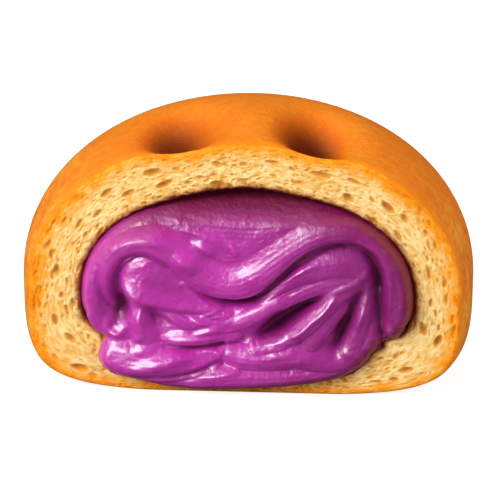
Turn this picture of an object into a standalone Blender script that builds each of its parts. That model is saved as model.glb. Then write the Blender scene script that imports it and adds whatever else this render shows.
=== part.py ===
"""Baked bun with a purple sweet potato filling, cut open.

Metres, +Z up. The origin is the middle of the flat underside, on the axis of the whole bun. The knife passed in front
of that axis, so the cut face looks along -Y. The bread is one baked solid and the filling is one solid inside it.
"""

import math

import bmesh
import bpy
import numpy as np
from mathutils import Matrix

MM = 0.001

# The whole bun, before the cut
BUN_RADIUS = 50.0 * MM
BUN_HEIGHT = 60.2 * MM
WIDEST_HEIGHT = 22.3 * MM
CROWN_POWER = 2.1
FOOT_POWER = 4.6
FLAT_DEPTH = 0.3 * MM
CUT_SETBACK = 17.7 * MM

# Two finger dents in the crown and the crown's sag at the knife: x, y, depth, reach, reach behind, in millimetres
DENTS = (
    (-13.6, -8.4, 7.2, 7.8, 13.0),
    (15.4, -8.6, 8.2, 7.4, 13.0),
    (0.5, -17.7, 1.3, 11.0, 11.0),
)
DENT_POWER = 2.4

# The hollow that the filling sits in, a round body on the same axis
HOLLOW_RADIUS = math.hypot(36.1 * MM, CUT_SETBACK)
HOLLOW_TOP = 48.0 * MM
HOLLOW_FLOOR = 1.8 * MM
HOLLOW_WIDEST = 21.5 * MM
HOLLOW_SHIFT = 0.7 * MM
HOLLOW_CROWN_POWER = 2.3
HOLLOW_FOOT_POWER = 2.15
GAP = 0.3 * MM

# How far the filling stands in front of the cut where it meets the bread: behind it under the roof, on the face below
RIM_AT_TOP = -6.0 * MM
RIM_AT_SIDE = -1.6 * MM
RIM_ON_FACE = 0.9 * MM

# Where the filling ends on the cut face, from left to right: x, z, in millimetres
SPILL_EDGE = (
    (-34.3, 18.5), (-32.6, 15.2), (-30.6, 12.6), (-31.4, 10.2), (-31.8, 7.8), (-31.0, 5.8), (-29.2, 4.2),
    (-26.0, 3.2), (-20.0, 2.4), (-14.0, 1.8), (-7.0, 1.6), (0.0, 1.6), (6.0, 1.9), (12.0, 2.7), (17.0, 3.5),
    (21.0, 4.5), (24.5, 6.0), (26.6, 8.0), (27.6, 10.3), (28.4, 12.2), (30.6, 14.2), (33.4, 15.4), (35.6, 18.2),
)

# Folds of the filling, each a rounded rope laid along points: x, z, half width, height of its crest, in millimetres
FOLDS = (
    # The mass under the roof
    ((-22, 38.5, 5, 1.2), (-14, 39.5, 7, 2.2), (-6, 38.5, 8, 2.8), (2, 38.5, 8, 3.0), (10, 39.5, 7, 2.8),
     (18, 40, 5.5, 2.4), (25, 38.5, 4.5, 1.6)),
    # The outermost rope on the left
    ((-29.5, 14, 3, 1.0), (-32, 17.5, 3.2, 1.6), (-32.8, 21.5, 3.2, 2.0), (-32.4, 26, 3.2, 2.2), (-31, 30.5, 3.2, 2.3),
     (-28.5, 34.8, 3.2, 2.2), (-25, 38, 3.2, 1.8), (-20, 40.5, 3.2, 1.2)),
    # The long S that ends as the rope on the right
    ((-28.3, 20.5, 2.2, 1.2), (-29.2, 23.5, 2.6, 2.4), (-29, 27.5, 2.9, 3.2), (-27.6, 31.6, 3.2, 3.7),
     (-24.8, 34.8, 3.5, 4.1), (-20.5, 36.2, 3.7, 4.4), (-16.5, 35.2, 4.2, 4.5), (-13.5, 32.8, 4.6, 4.5),
     (-10.5, 29.8, 4.8, 4.4), (-7, 27.3, 4.8, 4.3), (-2.5, 26.4, 4.6, 4.2), (2, 27.9, 4.4, 4.2), (6, 31, 4.4, 4.3),
     (10, 34.4, 4.4, 4.4), (15, 37, 4.2, 4.2), (20, 38.1, 3.6, 3.8), (25, 37.2, 3, 3.4), (28.8, 34.6, 3, 3.3),
     (31.5, 31, 3.3, 3.4), (33, 26.5, 3.6, 3.5), (33.4, 21.5, 3.6, 3.5), (32.5, 18, 3.2, 3.1)),
    # The curl inside the S
    ((-24, 22.8, 2.4, 2.6), (-25.3, 25.5, 2.6, 3.0), (-24.3, 28.8, 3, 3.4), (-21.3, 30.4, 3.2, 3.6),
     (-18, 29.6, 3.2, 3.3), (-15, 27.2, 3.2, 2.8), (-11.5, 24.2, 2.8, 2.4), (-7.5, 21.8, 2.2, 2.0), (-3, 20.8, 1.8, 1.8)),
    ((-20.5, 26.8, 4.5, 2.4), (-16.5, 24.8, 4, 2.3), (-12, 22.8, 2.6, 2.0)),
    ((-25, 23.8, 2, 2.6), (-22, 22.3, 2.3, 3.0), (-18, 21.3, 2.2, 3.0), (-13.5, 20.7, 2, 2.8), (-9, 20.7, 1.8, 2.5),
     (-5, 21, 1.5, 2.0)),
    # The neck below the curl
    ((-21.5, 21.3, 3, 2.6), (-21.8, 18, 3.3, 3.4), (-21.5, 14.8, 3.6, 3.4), (-21, 12.5, 3.5, 3.0)),
    ((-28.5, 17.5, 3, 0.8), (-28, 14, 3, 1.4)),
    # Ropes right of the neck
    ((-8, 15.7, 1.4, 2.8), (-4.5, 16.9, 1.7, 3.2), (-1, 17.8, 2, 3.6), (2.5, 19.4, 2.1, 3.7), (5.5, 21.2, 2, 3.3),
     (8.5, 23, 1.8, 2.6)),
    ((-17.5, 13.2, 2, 3.3), (-13.5, 13.8, 2.2, 3.9), (-9.5, 14, 2.1, 3.9), (-5.5, 14.3, 2, 3.6), (-1.5, 15.2, 1.8, 3.2)),
    # The lobes along the bottom
    ((-28.6, 9.2, 3.3, 3.6), (-25, 8.6, 4.2, 4.8), (-20, 8.3, 4.6, 5.4), (-15, 8.6, 4.4, 5.6), (-10.5, 9.3, 3.6, 5.2),
     (-6.5, 10.2, 2.6, 4.4)),
    ((-17, 3.9, 2, 3.6), (-12, 4.2, 2.6, 4.4), (-7, 5, 3, 4.9), (-2, 6, 3.2, 5.0), (3, 6.2, 3.4, 4.9),
     (9, 6, 3.4, 4.6), (15, 6.6, 3.6, 4.2), (20.5, 8, 3.8, 3.6), (24, 10.5, 3.2, 3.0)),
    ((-4, 11.3, 2, 4.0), (1, 11, 2.4, 4.5), (6, 11, 2.6, 4.7), (11, 11.2, 3, 4.6), (16, 10.5, 3.2, 4.2),
     (20.5, 10.8, 2.8, 3.6)),
    # The broad fold under the S on the right
    ((3.2, 23, 1.7, 2.8), (6, 25, 2.2, 3.2), (9.5, 27.6, 2.8, 3.3), (13.5, 29.8, 3.6, 3.3), (18, 31.3, 4.2, 3.1),
     (22.5, 32, 4, 2.8), (26, 31.4, 3, 2.2)),
    ((8, 22.5, 3, 2.6), (12.5, 25.5, 4, 2.9), (17.5, 27.5, 4.5, 2.9), (22.5, 28.5, 4, 2.5), (26.5, 28, 3, 1.8)),
    # The ridges between the two deep pockets
    ((23, 26, 2, 2.4), (20, 23.9, 2.4, 3.2), (17.2, 20.8, 2.2, 3.8), (14.2, 17.8, 2.1, 4.2), (11, 15.4, 2.1, 4.3),
     (7, 13.8, 2, 4.2), (3, 13, 1.8, 3.8)),
    ((20, 20.5, 2.6, 3.0), (17, 17.5, 2.8, 3.6), (15, 14.5, 3, 3.8)),
    ((27.3, 26, 1.8, 2.0), (26, 22, 2.3, 3.0), (24.8, 18.3, 2.6, 3.5), (23.3, 14.8, 2.6, 3.5), (21.5, 12, 2.4, 3.4)),
    ((29, 24, 1.5, 1.4), (28.6, 19.5, 2.2, 2.4), (27.4, 15, 2.6, 2.8), (26, 11.5, 2.6, 2.8)),
)
FOLD_ROUND = 0.7
FOLD_BLEND = 2.2 * MM
UNDER_FOLDS = 0.2 * MM

# Creases and deep pockets between the folds: x, z, half width, depth, in millimetres
POCKETS = (
    ((-27.4, 22, 1.3, 1.2), (-27.4, 26.5, 1.2, 0.9), (-26, 30.6, 1.2, 0.9), (-22, 33, 1.2, 0.9),
     (-17.6, 31.8, 1.2, 0.9), (-11.9, 26.3, 1.2, 0.9), (-6, 22.8, 1.3, 1.2), (1, 22.8, 1.3, 1.3),
     (9, 28.7, 1.3, 1.2), (17, 34.8, 1.3, 1.1), (25, 35.2, 1.2, 0.9), (29.7, 29, 1.3, 1.3), (30.2, 24, 1.3, 1.3),
     (29.7, 17, 1.3, 1.0)),
    ((16.5, 23.8, 1.2, 1.0), (13.4, 21.6, 1.5, 2.2), (10, 18.6, 1.7, 3.0), (7, 16.2, 1.7, 3.2), (4, 14.6, 1.3, 1.6)),
    ((25, 24.6, 1.1, 0.8), (23.4, 20.5, 1.3, 1.9), (22, 16.8, 1.4, 2.6), (20.2, 12.6, 1.2, 1.8)),
    ((-27, 21, 1.3, 1.6), (-26.8, 18.5, 1.3, 1.4)),
    ((-16.5, 11.8, 1.1, 0.7), (-10, 11.8, 1.1, 1.0), (-4, 12.7, 1.0, 0.7)),
    ((-24, 5, 1.0, 0.5), (-14, 5.3, 1.1, 0.8), (-6, 7.6, 1.0, 0.5)),
)

# Air holes in the cut crumb: x, z, length, height, tilt in degrees, in millimetres
CRUMB_HOLES = (
    (-19.4, 50.4, 4.6, 1.9, 12), (-16.8, 47.9, 4.2, 1.6, 25), (-29.3, 45.6, 3.4, 1.5, 40), (-24.6, 45.6, 3.6, 1.5, 30),
    (-35.3, 38.6, 3.0, 1.1, 62), (-31.4, 40.9, 2.8, 1.3, 50), (0.1, 52.6, 2.2, 1.0, 0), (6.1, 53.2, 3.4, 1.2, -5),
    (16.6, 50.6, 5.0, 1.6, -12), (11.5, 48.7, 3.2, 1.1, -10), (23.6, 49.2, 3.6, 1.2, -25), (22.4, 45.6, 3.2, 1.7, -35),
    (30.8, 43.6, 4.0, 1.8, -42), (34.4, 41.2, 2.6, 1.5, -55), (27.4, 45.2, 2.2, 1.0, -60), (39.8, 29.0, 3.6, 1.2, -78),
    (43.8, 22.9, 3.4, 1.1, 88), (42.2, 13.2, 3.3, 1.9, 62), (40.4, 22.0, 2.4, 1.1, 85), (35.4, 6.2, 3.8, 1.7, 12),
    (-35.7, 6.4, 3.8, 1.8, -14), (-41.1, 16.2, 3.0, 1.6, -80), (-37.9, 12.0, 3.6, 1.6, -45), (-39.6, 22.0, 2.0, 1.1, 80),
)
HOLE_DEPTH_SHARE = 0.8

# How finely the solids are faceted
SEGMENTS = 96
CRUST_ROWS = 18
HOLLOW_ROWS = 7
FRONT_ROWS = 24
CURVE_STEPS = 5

BREAD_COLOUR = (0.80, 0.38, 0.09, 1.0)
FILLING_COLOUR = (0.42, 0.05, 0.33, 1.0)


def clear_scene():
    for old in list(bpy.data.objects):
        bpy.data.objects.remove(old, do_unlink=True)


def material(name, colour, roughness):
    made = bpy.data.materials.new(name)
    made.use_nodes = True
    shader = made.node_tree.nodes["Principled BSDF"]
    shader.inputs["Base Color"].default_value = colour
    shader.inputs["Roughness"].default_value = roughness
    shader.inputs["Metallic"].default_value = 0.0
    made.diffuse_color = colour
    return made


def dent_depth(x, y):
    """How far the finger dents lower the crown at x, y."""
    depth = np.zeros_like(x)
    for dent_x, dent_y, deep, reach, behind in DENTS:
        depthways = np.where(y > dent_y * MM, behind, reach) * MM
        share = np.hypot((x - dent_x * MM) / (reach * MM), (y - dent_y * MM) / depthways)
        depth = depth + deep * MM * np.exp(-(share**DENT_POWER))
    return depth


def round_body(radius, rise, up, down, power_up, power_down):
    """Under 1 inside a round body that is widest where rise is 0, and over 1 outside it."""
    tall = np.where(rise > 0, rise / up, -rise / down)
    power = np.where(rise > 0, power_up, power_down)
    return radius**power + tall**power


def bun_level(x, y, z):
    lowered = z + np.where(z > WIDEST_HEIGHT, dent_depth(x, y), 0.0)
    return round_body(
        np.hypot(x, y) / BUN_RADIUS,
        lowered - WIDEST_HEIGHT,
        BUN_HEIGHT - WIDEST_HEIGHT,
        WIDEST_HEIGHT + FLAT_DEPTH,
        CROWN_POWER,
        FOOT_POWER,
    )


def hollow_level(x, y, z, gap):
    return round_body(
        np.hypot(x - HOLLOW_SHIFT, y) / (HOLLOW_RADIUS - gap),
        z - HOLLOW_WIDEST,
        HOLLOW_TOP - gap - HOLLOW_WIDEST,
        HOLLOW_WIDEST - HOLLOW_FLOOR - gap,
        HOLLOW_CROWN_POWER,
        HOLLOW_FOOT_POWER,
    )


def cast(level, start, ways):
    """Where rays from start, one for each row of ways, leave the body that level describes."""
    near = np.zeros(len(ways))
    far = np.full(len(ways), 2 * BUN_RADIUS)
    for _ in range(40):
        middle = (near + far) / 2
        point = start + ways * middle[:, None]
        inside = level(*point.T) < 1
        near = np.where(inside, middle, near)
        far = np.where(inside, far, middle)
    return start + ways * near[:, None]


def angles():
    return np.arange(SEGMENTS) * 2 * math.pi / SEGMENTS


def ring_ways(turn, lean):
    """Directions that lean away from the +Y axis by an angle, one for each turn about it."""
    return np.stack([np.cos(turn) * np.sin(lean), np.cos(lean) * np.ones_like(turn), np.sin(turn) * np.sin(lean)], axis=1)


CUT_CENTRE = np.array([0.0, -CUT_SETBACK, WIDEST_HEIGHT])
HEART = np.array([0.0, 0.0, WIDEST_HEIGHT])


def outline_at(level, y):
    """The ring of points where a body's surface meets the plane at y, which may differ by direction."""
    start = np.tile(CUT_CENTRE, (SEGMENTS, 1))
    start[:, 1] = y
    return cast(level, start, ring_ways(angles(), math.pi / 2))


def rows_behind(level, first_ring, shares):
    """Rings of a body's surface behind the cut, at shares of the way from its back pole to first_ring."""
    away = first_ring - HEART
    lean = np.arctan2(np.hypot(away[:, 0], away[:, 2]), away[:, 1])
    turn = np.arctan2(away[:, 2], away[:, 0])
    return [cast(level, HEART, ring_ways(turn, lean * share)) for share in shares]


def mesh_of_rings(name, first_pole, rings, last_pole, finish):
    """A UV sphere whose rows are moved to the rings, from one pole to the other."""
    rows = len(rings) + 1
    bm = bmesh.new()
    bmesh.ops.create_uvsphere(bm, u_segments=SEGMENTS, v_segments=rows, radius=1.0)
    for vertex in bm.verts:
        row = round(math.acos(max(-1.0, min(1.0, vertex.co.z))) / math.pi * rows)
        turn = round(math.atan2(vertex.co.y, vertex.co.x) / (2 * math.pi) * SEGMENTS) % SEGMENTS
        if row == 0:
            vertex.co = first_pole
        elif row == rows:
            vertex.co = last_pole
        else:
            vertex.co = rings[row - 1][turn]
    if bm.calc_volume(signed=True) < 0:
        bmesh.ops.reverse_faces(bm, faces=bm.faces)
    mesh = bpy.data.meshes.new(name)
    bm.to_mesh(mesh)
    bm.free()
    mesh.shade_smooth()
    mesh.set_sharp_from_angle(angle=math.radians(50))
    mesh.materials.append(finish)
    made = bpy.data.objects.new(name, mesh)
    bpy.context.scene.collection.objects.link(made)
    return made


def pole_behind(level):
    return cast(level, HEART, np.array([[0.0, 1.0, 0.0]]))[0]


def crust_shares():
    """Shares from the back pole to the cut edge, closer together near the cut, where the dents are."""
    step = np.arange(1, CRUST_ROWS + 1) / CRUST_ROWS
    return 1 - (1 - step) * (0.7 + 0.3 * (1 - step))


def crumb_hole_cutter():
    """One hidden object with an egg-shaped body for each air hole, centred on the cut."""
    bm = bmesh.new()
    for x, z, length, height, tilt in CRUMB_HOLES:
        size = Matrix.Diagonal((length / 2 * MM, height / 2 * HOLE_DEPTH_SHARE * 2 * MM, height / 2 * MM, 1.0))
        turn = Matrix.Rotation(-math.radians(tilt), 4, "Y")
        place = Matrix.Translation((x * MM, -CUT_SETBACK, z * MM))
        bmesh.ops.create_icosphere(bm, subdivisions=2, radius=1.0, matrix=place @ turn @ size)
    mesh = bpy.data.meshes.new("crumb_holes")
    bm.to_mesh(mesh)
    bm.free()
    cutter = bpy.data.objects.new("crumb_holes", mesh)
    cutter.hide_render = True
    cutter.display_type = "WIRE"
    bpy.context.scene.collection.objects.link(cutter)
    return cutter


def make_bread(finish):
    """The bread: its crust, the cut face and the hollow, as one cup-shaped solid."""

    def hollow(x, y, z):
        return hollow_level(x, y, z, 0.0)

    crust = rows_behind(bun_level, outline_at(bun_level, -CUT_SETBACK), crust_shares())
    for ring in crust:
        ring[:, 2] = np.maximum(ring[:, 2], 0.0)
    wall = rows_behind(hollow, outline_at(hollow, -CUT_SETBACK), np.arange(HOLLOW_ROWS, 0, -1) / HOLLOW_ROWS)
    bread = mesh_of_rings("bread", pole_behind(bun_level), crust + wall, pole_behind(hollow), finish)
    holes = bread.modifiers.new("air holes", "BOOLEAN")
    holes.operation = "DIFFERENCE"
    holes.solver = "EXACT"
    holes.object = crumb_hole_cutter()
    return bread


def smooth_path(points):
    """A Catmull-Rom curve through a fold's points, with its width and height along it."""
    known = np.array(points, float) * MM
    padded = np.vstack([2 * known[0] - known[1], known, 2 * known[-1] - known[-2]])
    path = [known[0]]
    for before, start, end, after in zip(padded, padded[1:], padded[2:], padded[3:]):
        for step in range(1, CURVE_STEPS + 1):
            t = step / CURVE_STEPS
            path.append(
                0.5 * (2 * start + (end - before) * t + (2 * before - 5 * start + 4 * end - after) * t**2
                       + (3 * start - before - 3 * end + after) * t**3)
            )
    return np.array(path)


def nearest_on(path, x, z):
    """The distance from each x, z to a path, and the path's width and height at the nearest place."""
    away = np.full(len(x), np.inf)
    width = np.zeros(len(x))
    height = np.zeros(len(x))
    for start, end in zip(path, path[1:]):
        run = end[:2] - start[:2]
        t = np.clip(((x - start[0]) * run[0] + (z - start[1]) * run[1]) / (run @ run), 0, 1)
        off = np.hypot(x - start[0] - t * run[0], z - start[1] - t * run[1])
        closer = off < away
        away = np.where(closer, off, away)
        width = np.where(closer, start[2] + t * (end[2] - start[2]), width)
        height = np.where(closer, start[3] + t * (end[3] - start[3]), height)
    return away, width, height


def smooth_max(a, b, blend):
    near = np.maximum(0.0, 1 - np.abs(a - b) / blend)
    return np.maximum(a, b) + blend / 4 * near**2


def fold_relief(x, z):
    """How far the filling's folds stand in front of the cut."""
    relief = np.full(len(x), UNDER_FOLDS)
    for fold in FOLDS:
        away, width, crest = nearest_on(smooth_path(fold), x, z)
        across = np.minimum(away / width, 1.0)
        rope = crest - width * FOLD_ROUND * (1 - np.sqrt(1 - across**2)) - np.maximum(away - width, 0.0)
        relief = smooth_max(relief, rope, FOLD_BLEND)
    sunk = np.zeros(len(x))
    for pocket in POCKETS:
        away, width, depth = nearest_on(smooth_path(pocket), x, z)
        sunk = np.maximum(sunk, depth * np.exp(-((away / width) ** 2)))
    return relief - sunk


def spill_reach(turn, mouth_reach):
    """How far past the hollow's edge the filling lies on the cut face, in each direction."""
    x, z = np.array(SPILL_EDGE).T * MM
    towards = np.arctan2(z - WIDEST_HEIGHT, x)
    reach = np.hypot(x, z - WIDEST_HEIGHT)
    signed_turn = (turn + math.pi) % (2 * math.pi) - math.pi
    return np.maximum(np.interp(signed_turn, towards, reach, left=0.0, right=0.0) - mouth_reach, 0.0)


def rim_relief(turn, spill):
    """How far in front of the cut the filling's edge lies, by direction."""
    upward = np.clip(np.sin(turn), 0.0, 1.0) ** 2
    inside = RIM_AT_SIDE + (RIM_AT_TOP - RIM_AT_SIDE) * upward
    near_spill = np.maximum.reduce([np.roll(spill, step) for step in (-1, 0, 1)])
    on_face = np.clip(near_spill / (0.1 * MM), 0.0, 1.0)
    return inside + (RIM_ON_FACE - inside) * on_face


def make_filling(finish):
    """The filling: folds in front, the shape of the hollow behind."""

    def hollow(x, y, z):
        return hollow_level(x, y, z, 0.0)

    def inner(x, y, z):
        return hollow_level(x, y, z, GAP)

    def clear(x, y, z):
        return hollow_level(x, y, z, 2 * GAP)

    turn = angles()
    out = ring_ways(turn, math.pi / 2)
    mouth = outline_at(clear, -CUT_SETBACK) - CUT_CENTRE
    spill = spill_reach(turn, np.hypot(mouth[:, 0], mouth[:, 2]))
    rim = rim_relief(turn, spill)
    edge = outline_at(clear, -CUT_SETBACK - np.minimum(rim, 0.0))
    edge[:, 1] = 0.0
    edge = edge + out * spill[:, None]
    flat_centre = CUT_CENTRE * (1, 0, 1)

    front = []
    for row in range(1, FRONT_ROWS + 1):
        share = row / FRONT_ROWS
        ring = flat_centre + (edge - flat_centre) * share
        relief = fold_relief(ring[:, 0], ring[:, 2])
        rounding = math.sqrt(1 - share**10)
        ring[:, 1] = -CUT_SETBACK - (rim + (relief - rim) * rounding)
        front.append(ring)

    under_y = -CUT_SETBACK - np.minimum(rim - GAP, GAP)
    under_lip = outline_at(clear, np.maximum(under_y, -CUT_SETBACK))
    under_lip[:, 1] = under_y
    first = outline_at(clear, np.maximum(under_y + GAP, -CUT_SETBACK + GAP))
    back = rows_behind(inner, outline_at(hollow, -CUT_SETBACK), np.arange(HOLLOW_ROWS - 1, 0, -1) / HOLLOW_ROWS)

    centre = CUT_CENTRE.copy()
    centre[1] -= fold_relief(centre[:1], centre[2:])[0]
    return mesh_of_rings("filling", centre, front + [under_lip, first] + back, pole_behind(inner), finish)


def main():
    clear_scene()
    make_bread(material("bread", BREAD_COLOUR, 0.5))
    make_filling(material("filling", FILLING_COLOUR, 0.2))


main()
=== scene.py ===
"""Baked bun cut open over a glossy purple sweet potato filling, dressed for the studio."""

import math

import bpy
import numpy as np
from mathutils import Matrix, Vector

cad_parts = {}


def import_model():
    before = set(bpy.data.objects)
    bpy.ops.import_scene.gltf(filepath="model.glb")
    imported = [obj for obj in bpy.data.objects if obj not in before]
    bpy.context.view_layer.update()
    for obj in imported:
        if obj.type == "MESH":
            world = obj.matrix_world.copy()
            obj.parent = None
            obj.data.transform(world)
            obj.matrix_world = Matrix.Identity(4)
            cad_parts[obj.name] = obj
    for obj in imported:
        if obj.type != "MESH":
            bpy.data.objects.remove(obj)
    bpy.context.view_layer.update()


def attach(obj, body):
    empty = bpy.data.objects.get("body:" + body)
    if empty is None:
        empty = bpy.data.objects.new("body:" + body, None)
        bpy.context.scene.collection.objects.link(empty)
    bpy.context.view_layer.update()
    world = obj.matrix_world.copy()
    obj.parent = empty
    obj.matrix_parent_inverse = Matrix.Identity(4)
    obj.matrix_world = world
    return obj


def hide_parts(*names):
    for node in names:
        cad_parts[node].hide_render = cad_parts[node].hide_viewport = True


MM = 0.001

# The whole bun, as the part's source gives it
BUN_RADIUS = 50.0 * MM
BUN_HEIGHT = 60.2 * MM
WIDEST_HEIGHT = 22.3 * MM
CROWN_POWER = 2.1
FOOT_POWER = 4.6
FLAT_DEPTH = 0.3 * MM
CUT_SETBACK = 17.7 * MM

# Two finger dents in the crown and the crown's sag at the knife:
# x, y, depth, reach, reach behind, in millimetres
DENTS = (
    (-13.6, -8.4, 7.2, 7.8, 13.0),
    (15.4, -8.6, 8.2, 7.4, 13.0),
    (0.5, -17.7, 1.3, 11.0, 11.0),
)
DENT_POWER = 2.4

# The crust is painted darker in the dents, partly their browner bake and partly painted shade, a little to
# the left of their lowest points, and brownest at this depth
SHADE_SHIFT = 1.6 * MM
FULL_SHADE_DEPTH = 8.0 * MM

# The hollow that the filling sits in
HOLLOW_RADIUS = math.hypot(36.1 * MM, CUT_SETBACK)
HOLLOW_TOP = 48.0 * MM
HOLLOW_FLOOR = 1.8 * MM
HOLLOW_WIDEST = 21.5 * MM
HOLLOW_SHIFT = 0.7 * MM
HOLLOW_CROWN_POWER = 2.3
HOLLOW_FOOT_POWER = 2.15
GAP = 0.3 * MM

# How far the filling's edge stands in front of the cut
RIM_AT_TOP = -6.0 * MM
RIM_AT_SIDE = -1.6 * MM
RIM_ON_FACE = 0.9 * MM
# The edge is on the face where the filling spills this far, and for one of this many parts of a turn past it
FULL_SPILL = 0.1 * MM
SPILL_MARGIN_PARTS = 96

# Where the filling ends on the cut face, from left to right: x, z, in millimetres
SPILL_EDGE = (
    (-31.5, 15.5), (-29.8, 13.1), (-31.0, 11.3), (-31.8, 9.0), (-31.7, 7.5), (-30.8, 5.8), (-29.0, 4.5),
    (-26.5, 3.7), (-24.0, 3.2), (-20.0, 2.4), (-14.0, 1.8), (-7.0, 1.6), (0.0, 1.6), (6.0, 1.9),
    (12.0, 2.7), (17.0, 3.5), (21.0, 4.4), (24.0, 5.6), (26.3, 7.5), (27.5, 9.5), (28.3, 12.0),
    (29.3, 13.5), (30.0, 15.1), (31.5, 15.8),
)
# Where the crumb bulges into the mouth, under the ends of the outer folds, or draws back from it, at the top:
# turn in degrees, depth, half width in degrees
NOTCHES = (
    (91.0, -0.9 * MM, 23.0),
    (197.0, 1.4 * MM, 4.0),
    (338.0, 1.4 * MM, 4.0),
    (343.6, 2.3 * MM, 2.4),
)
# The least that the filling lies over such a bulge
SPILL_OVER_NOTCH = 0.6 * MM

# Folds of the filling, each a rounded rope laid along points:
# x, z, half width, height of its crest, in millimetres
FOLDS = (
    # The mass under the roof
    ((-26, 39, 4, 0.8), (-20, 41, 6, 1.6), (-12, 40.5, 8, 2.2), (-4, 39.5, 9, 2.6), (4, 39.5, 9, 2.8),
     (12, 41, 7, 2.8), (20, 41, 5.5, 2.4), (27, 38.5, 4.5, 1.8)),
    ((-14, 38, 5, 2.6), (-8, 36, 6, 2.9), (-3, 34, 6, 2.9), (2, 35.5, 6, 2.9), (8, 39, 5, 2.8)),
    # The outermost rope on the left
    ((-29, 13.5, 2.6, 0.6), (-31.2, 16.5, 3.0, 1.8), (-32.3, 20.5, 3.2, 2.6), (-32.3, 25, 3.3, 3.0),
     (-31.4, 29.5, 3.3, 3.0), (-29.4, 34, 3.2, 2.8), (-26, 38, 3.4, 2.0), (-21, 40.6, 3.6, 1.4)),
    # The long S that ends as the rope on the right
    ((-27.8, 20.4, 1.5, 1.0), (-29, 23.2, 1.8, 2.6), (-29.3, 27, 2.2, 3.8), (-28.4, 31, 2.6, 4.4),
     (-26, 34, 2.8, 4.9), (-22.5, 35.9, 3.0, 5.5), (-18.5, 36, 3.7, 6.0), (-15, 34.2, 4.1, 5.8),
     (-12, 31.4, 4.2, 5.2), (-8.5, 28.6, 4.4, 4.7), (-4.5, 27, 4.6, 4.7), (-0.5, 27.2, 4.9, 4.8),
     (3.5, 29.3, 4.6, 4.9), (7, 32.2, 4.2, 5.0), (11, 35.2, 3.9, 5.0), (15.5, 37.7, 3.6, 4.8),
     (20.5, 38.9, 3.3, 4.3), (25.5, 37.8, 3.0, 3.8), (29.5, 35, 3.1, 3.6), (32.3, 31, 3.8, 3.7),
     (33.7, 26.5, 4.2, 3.8), (33.9, 22, 4.1, 3.8), (33.2, 18.8, 3.4, 3.3), (32.3, 17, 2.9, 2.6)),
    # The bulb inside the S
    ((-20.7, 27.2, 6.0, 6.2), (-17.5, 26, 5.4, 5.8), (-14.5, 24.4, 4.4, 4.9), (-10.5, 22.6, 3.0, 4.0),
     (-6, 21.6, 2.2, 3.2)),
    # The neck below the bulb, and what leans on its left
    ((-22.6, 23, 2.6, 3.4), (-22.2, 20.5, 2.4, 3.2), (-21.8, 17.5, 2.6, 4.0), (-21.4, 14.8, 3.2, 4.4),
     (-21.2, 12.6, 3.4, 4.4)),
    ((-24.8, 20.5, 1.8, 1.8), (-25.2, 17.5, 2.2, 2.0), (-25.8, 14.5, 2.8, 2.4), (-26, 12.5, 3.0, 2.8)),
    ((-28, 16.5, 3.0, 2.0), (-28.4, 13, 3.0, 2.6)),
    ((-17.5, 20.8, 2.4, 3.4), (-13, 19.2, 2.8, 3.4), (-8.5, 18.6, 2.8, 3.3), (-4, 19, 2.4, 3.3)),
    # The sheet right of the neck, and the rope that climbs from it
    ((-17.5, 16.2, 3.2, 3.0), (-14, 16.6, 3.4, 3.3), (-9, 17.2, 3.4, 3.6), (-3, 18.8, 3.0, 3.2),
     (3, 20.6, 2.6, 3.4), (7, 22.8, 2.0, 3.0)),
    ((-5, 16.4, 1.2, 2.8), (-2, 17.4, 1.7, 4.0), (1.5, 19, 2.0, 4.3), (4.5, 21, 2.0, 4.1),
     (7.5, 22.8, 1.9, 3.3)),
    # The tongue over the bottom lobes
    ((-19, 13, 1.2, 2.4), (-16.5, 13.4, 1.6, 3.4), (-13.5, 13.9, 2.0, 4.3), (-10, 14.1, 2.1, 4.6),
     (-6, 14.5, 2.0, 4.2), (-2, 15, 1.8, 3.4)),
    # The lobes along the bottom
    ((-28.4, 8.7, 3.3, 4.2), (-25, 8.6, 4.3, 5.2), (-20.5, 8.4, 4.7, 5.7), (-16, 8.5, 4.6, 5.9),
     (-11.5, 8.9, 3.9, 5.4), (-7, 9.4, 2.8, 4.4)),
    ((-20, 4.3, 1.8, 3.4), (-14, 4.2, 2.3, 4.4), (-8, 4.6, 2.7, 5.2), (-3, 5.4, 3.0, 5.4),
     (2, 5.6, 3.1, 5.0), (8, 5.6, 3.1, 4.4), (14, 6.2, 3.2, 3.8), (19.5, 7.4, 3.2, 3.2),
     (24, 9.5, 2.8, 2.6)),
    ((-4, 10.5, 2.2, 4.0), (1, 10, 2.8, 4.9), (6, 10, 3.0, 5.1), (11, 10.6, 3.2, 4.9),
     (16, 10, 3.2, 4.2), (20.5, 9.6, 2.8, 3.0), (24, 11.4, 2.4, 2.7)),
    # The broad fold under the S on the right
    ((4, 23.6, 1.3, 3.0), (6.5, 25.6, 1.8, 3.7), (10, 28.2, 2.4, 4.0), (13.5, 30.2, 3.0, 4.1),
     (18, 31.7, 3.6, 3.9), (22.5, 32, 3.6, 3.3), (26, 30.5, 3, 2.4)),
    ((8.5, 22.8, 2.8, 3.2), (12.5, 25.4, 4, 3.5), (17.5, 27.6, 4.5, 3.5), (22.5, 28.8, 4, 3.0),
     (26.5, 28.5, 3, 2.0)),
    # The ridges beside the two deep pockets
    ((24.5, 26.4, 1.6, 2.4), (20.5, 24.2, 2.0, 3.8), (17.2, 21, 2.0, 4.4), (14, 17.8, 2.0, 4.7),
     (11, 15.4, 1.9, 4.8), (7.5, 13.6, 1.8, 4.6), (3, 12.6, 1.8, 4.0)),
    ((20.5, 20.5, 2.4, 3.2), (17.5, 17.5, 2.6, 3.9), (15, 14.4, 2.8, 4.1)),
    ((27.3, 26, 1.6, 1.8), (26.2, 22, 2.2, 2.8), (25, 18.3, 2.4, 3.3), (23.8, 14.8, 2.5, 3.2),
     (22.8, 12, 2.4, 2.8)),
    ((29, 24, 1.5, 1.2), (28.4, 19.5, 2.0, 2.2), (27.4, 15, 2.6, 2.8), (26, 11.5, 2.6, 2.8)),
)
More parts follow.
